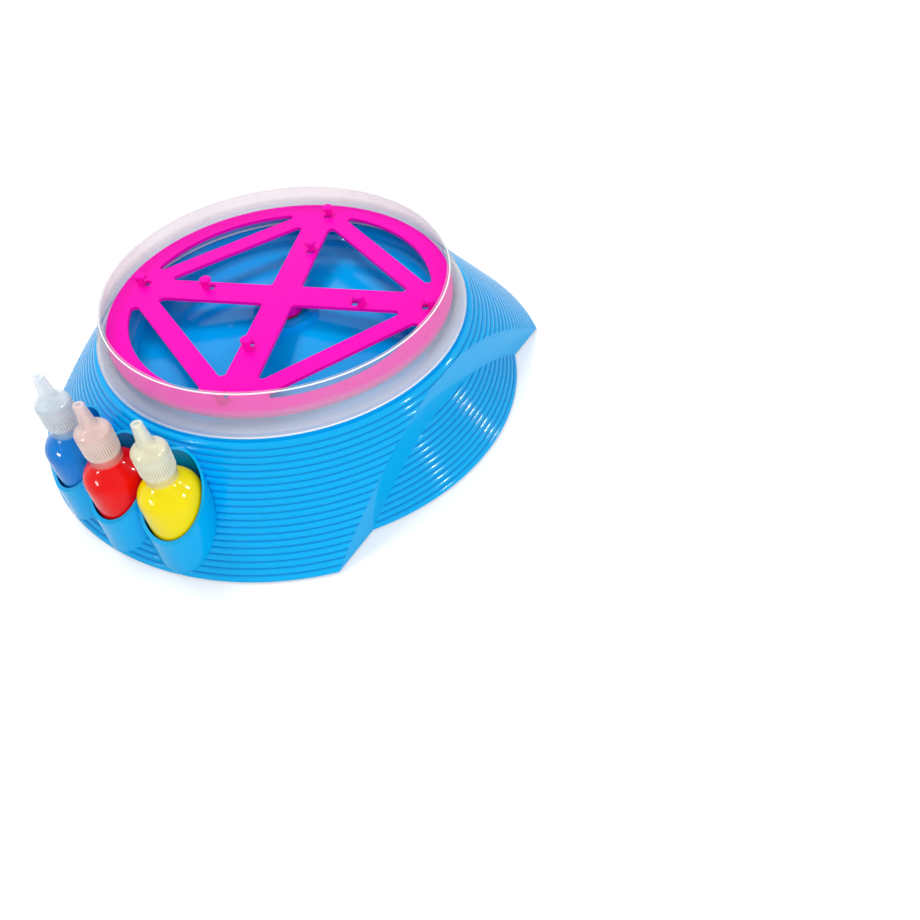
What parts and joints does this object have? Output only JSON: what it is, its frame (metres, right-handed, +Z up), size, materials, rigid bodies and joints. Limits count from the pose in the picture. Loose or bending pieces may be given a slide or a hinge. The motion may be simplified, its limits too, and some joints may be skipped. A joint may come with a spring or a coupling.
{
  "type": "spin art machine",
  "caption": "Battery spin art machine: ribbed housing, paint bowl, pegged turntable that spins a card inside a lift-off splash guard, and leaning cups that hold paint bottles.",
  "frame": {"origin": "the spindle's axis where it meets the surface that the machine stands on", "axes": "+Z up along the spindle, +X to the right seen from the bottle side, +Y away from the bottles"},
  "size_m": [0.2476, 0.283, 0.0823],
  "materials": {
    "housing_blue": "satin moulded",
    "bowl_blue": "polished moulded",
    "cover_blue": "fine moulded texture",
    "turntable_magenta": "satin moulded",
    "guard_frosted": "frosted translucent",
    "button_magenta": "satin moulded",
    "rubber": "matt",
    "screw_steel": "zinc plated",
    "steel_sheet": "pressed sheet",
    "motor_steel": "drawn can",
    "end_cap_nylon": "moulded",
    "brass": "turned",
    "ferrite": "sintered",
    "armature": "wound",
    "shaft_steel": "ground",
    "plug_acetal": "moulded",
    "cell_jacket": "plain jacket",
    "contact_nickel": "nickel plated",
    "switch_black": "moulded",
    "plunger_white": "moulded",
    "lead_red": "soft insulation",
    "lead_black": "soft insulation",
    "bottle_blue": "translucent squeeze bottle",
    "paint_blue": "liquid paint",
    "cap_blue": "clear moulded",
    "bottle_red": "translucent squeeze bottle",
    "paint_red": "liquid paint",
    "cap_red": "clear moulded",
    "bottle_yellow": "translucent squeeze bottle",
    "paint_yellow": "liquid paint",
    "cap_yellow": "clear moulded"
  },
  "bodies": {
    "base": {"upper_housing": "housing_blue", "bottle_cups": "housing_blue", "paint_bowl": "bowl_blue", "bottom_cover": "cover_blue", "rubber_foot_1": "rubber", "rubber_foot_2": "rubber", "rubber_foot_3": "rubber", "rubber_foot_4": "rubber", "cover_screws": "screw_steel", "motor_bracket": "steel_sheet", "bracket_screws": "screw_steel", "motor_screws": "screw_steel", "motor_can": "motor_steel", "motor_end_cap": "end_cap_nylon", "motor_bearing": "brass", "motor_magnet": "ferrite", "battery_1": "cell_jacket", "battery_2": "cell_jacket", "battery_3": "cell_jacket", "battery_4": "cell_jacket", "battery_contact_plates": "contact_nickel", "battery_contact_leaves": "contact_nickel", "push_switch": "switch_black", "lead_battery_switch": "lead_red", "lead_switch_motor": "lead_red", "lead_battery_motor": "lead_black"},
    "rotor": {"turntable": "turntable_magenta", "spindle_plug": "plug_acetal", "motor_shaft": "shaft_steel", "motor_armature": "armature"},
    "guard": {"splash_guard": "guard_frosted"},
    "button": {"power_button": "button_magenta", "switch_plunger": "plunger_white"},
    "door": {"battery_door": "cover_blue", "door_screw": "screw_steel"},
    "bottle_blue": {"bottle_blue": "bottle_blue", "paint_blue": "paint_blue"},
    "cap_blue": {"cap_blue": "cap_blue"},
    "bottle_red": {"bottle_red": "bottle_red", "paint_red": "paint_red"},
    "cap_red": {"cap_red": "cap_red"},
    "bottle_yellow": {"bottle_yellow": "bottle_yellow", "paint_yellow": "paint_yellow"},
    "cap_yellow": {"cap_yellow": "cap_yellow"}
  },
  "joints": [
    {"name": "spindle_spin", "type": "hinge", "parent": "base", "child": "rotor", "pos_m": [0, 0, 0], "axis": [0, 0, 1], "continuous": true},
    {"name": "guard_lift", "type": "slide", "parent": "base", "child": "guard", "axis": [0, 0, 1], "range_m": [0, 0.045]},
    {"name": "button_press", "type": "slide", "parent": "base", "child": "button", "axis": [1, 0, 0], "range_m": [0, 0.002], "stiffness_N_per_m": 1500, "springref_m": -0.001},
    {"name": "battery_door_hinge", "type": "hinge", "parent": "base", "child": "door", "pos_m": [0, 0.0836, 0.0026], "axis": [1, 0, 0], "range_deg": [0, 95]},
    {"name": "bottle_blue_lift", "type": "slide", "parent": "base", "child": "bottle_blue", "axis": [0.0051, 0.0203, 0.9998], "range_m": [0, 0.06]},
    {"name": "cap_blue_twist", "type": "hinge", "parent": "bottle_blue", "child": "cap_blue", "pos_m": [-0.03057, -0.12079, 0.003], "axis": [0.0051, 0.0203, 0.9998], "range_deg": [0, 360]},
    {"name": "bottle_red_lift", "type": "slide", "parent": "base", "child": "bottle_red", "axis": [0, 0.0209, 0.9998], "range_m": [0, 0.06]},
    {"name": "cap_red_twist", "type": "hinge", "parent": "bottle_red", "child": "cap_red", "pos_m": [0, -0.1246, 0.003], "axis": [0, 0.0209, 0.9998], "range_deg": [0, 360]},
    {"name": "bottle_yellow_lift", "type": "slide", "parent": "base", "child": "bottle_yellow", "axis": [-0.0051, 0.0203, 0.9998], "range_m": [0, 0.06]},
    {"name": "cap_yellow_twist", "type": "hinge", "parent": "bottle_yellow", "child": "cap_yellow", "pos_m": [0.03057, -0.12079, 0.003], "axis": [-0.0051, 0.0203, 0.9998], "range_deg": [0, 360]}
  ]
}
